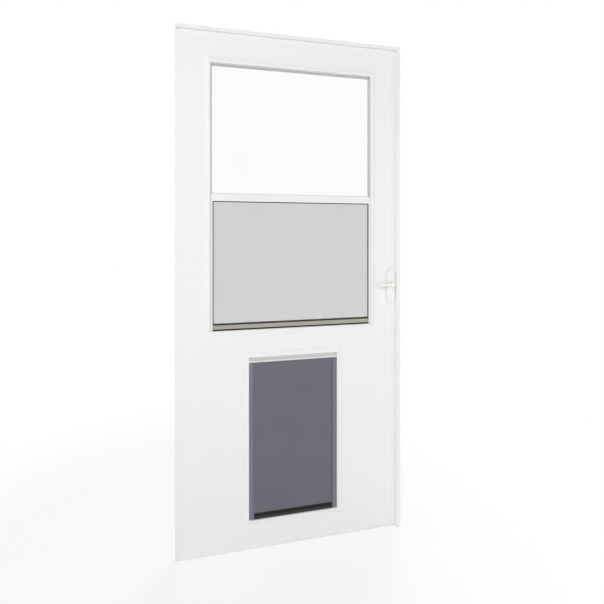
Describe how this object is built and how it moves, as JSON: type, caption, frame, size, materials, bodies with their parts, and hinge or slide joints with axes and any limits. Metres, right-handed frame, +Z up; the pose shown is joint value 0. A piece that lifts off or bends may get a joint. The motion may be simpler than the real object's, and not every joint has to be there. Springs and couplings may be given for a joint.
{
  "type": "storm door with built-in pet door",
  "caption": "White storm door in its mounting rails, glazed above with a screened lower sash, with a pet flap below and lever handles; leaf, flap and levers move.",
  "frame": {"origin": "on the outer flat face of the hinge side mounting rail, at its foot and halfway through the leaf's thickness", "axes": "+Z up, +X from the hinge side to the latch side, -Y towards the room and +Y outdoors"},
  "size_m": [0.9144, 0.1058, 2.032],
  "materials": {
    "white_aluminium": "baked white enamel on extruded aluminium",
    "white_skin": "baked white enamel on sheet metal",
    "timber_core": "engineered timber",
    "white_vinyl": "white vinyl moulding",
    "sash_taupe": "warm grey enamel on extruded aluminium",
    "pale_seal": "soft white vinyl seal",
    "clear_glass": "clear tempered glass",
    "screen_mesh": "woven glass fibre insect mesh",
    "clamp_aluminium": "satin aluminium",
    "side_strip_vinyl": "blue-grey vinyl",
    "flap_vinyl": "flexible slate grey vinyl",
    "black_vinyl": "black vinyl",
    "threshold_vinyl": "brown-grey vinyl",
    "black_pile": "black pile seal",
    "hinge_metal": "white enamelled steel",
    "pin_steel": "zinc plated steel",
    "handle_enamel": "smooth white enamel on die-cast zinc",
    "latch_steel": "zinc plated steel"
  },
  "bodies": {
    "mounting_frame": {"hinge_jamb": "white_aluminium", "latch_jamb": "white_aluminium", "head_jamb": "white_aluminium", "weatherstrips": "pale_seal", "strike_plate": "latch_steel", "bottom_hinge_frame_leaf": "hinge_metal", "middle_hinge_frame_leaf": "hinge_metal", "top_hinge_frame_leaf": "hinge_metal", "hinge_pins": "pin_steel"},
    "door_leaf": {"hinge_stile": "timber_core", "latch_stile": "timber_core", "top_rail": "timber_core", "lock_rail": "timber_core", "lower_panel_hinge_side": "timber_core", "lower_panel_latch_side": "timber_core", "bottom_rail": "timber_core", "interior_skin": "white_skin", "exterior_skin": "white_skin", "hinge_edge_lap": "white_aluminium", "latch_edge_channel": "white_aluminium", "bottom_sweep": "pale_seal", "window_moulding_inside": "white_vinyl", "window_moulding_outside": "white_vinyl", "window_track_frame": "white_vinyl", "upper_glass": "clear_glass", "meeting_rail": "white_aluminium", "lower_sash_frame": "white_aluminium", "sash_bottom_rail": "sash_taupe", "lower_glass": "clear_glass", "screen_frame": "white_aluminium", "insect_screen": "screen_mesh", "pet_trim_inside": "white_vinyl", "pet_trim_outside": "white_vinyl", "pet_tunnel": "white_vinyl", "flap_clamp_bar": "clamp_aluminium", "flap_side_strips": "side_strip_vinyl", "flap_side_brushes": "black_pile", "pet_threshold": "threshold_vinyl", "bottom_hinge_door_leaf": "hinge_metal", "middle_hinge_door_leaf": "hinge_metal", "top_hinge_door_leaf": "hinge_metal", "interior_escutcheon": "handle_enamel", "exterior_escutcheon": "handle_enamel", "tubular_latch": "latch_steel", "latch_bolt": "latch_steel"},
    "lever_handles": {"interior_lever": "handle_enamel", "exterior_lever": "handle_enamel", "lever_spindle": "latch_steel"},
    "pet_flap_panel": {"pet_flap": "flap_vinyl", "flap_magnet_bar": "black_vinyl"}
  },
  "joints": [
    {"name": "leaf_swing", "type": "hinge", "parent": "mounting_frame", "child": "door_leaf", "pos_m": [0.007, 0.021, 0], "axis": [0, 0, 1], "range_deg": [0, 110]},
    {"name": "lever_turn", "type": "hinge", "parent": "door_leaf", "child": "lever_handles", "pos_m": [0.8714, 0, 1.03], "axis": [0, -1, 0], "range_deg": [0, 40], "stiffness_Nm_per_rad": 0.6, "springref_deg": -20.05},
    {"name": "pet_flap_swing", "type": "hinge", "parent": "door_leaf", "child": "pet_flap_panel", "pos_m": [0.457, -0.0105, 0.733], "axis": [1, 0, 0], "range_deg": [-80, 80]}
  ]
}
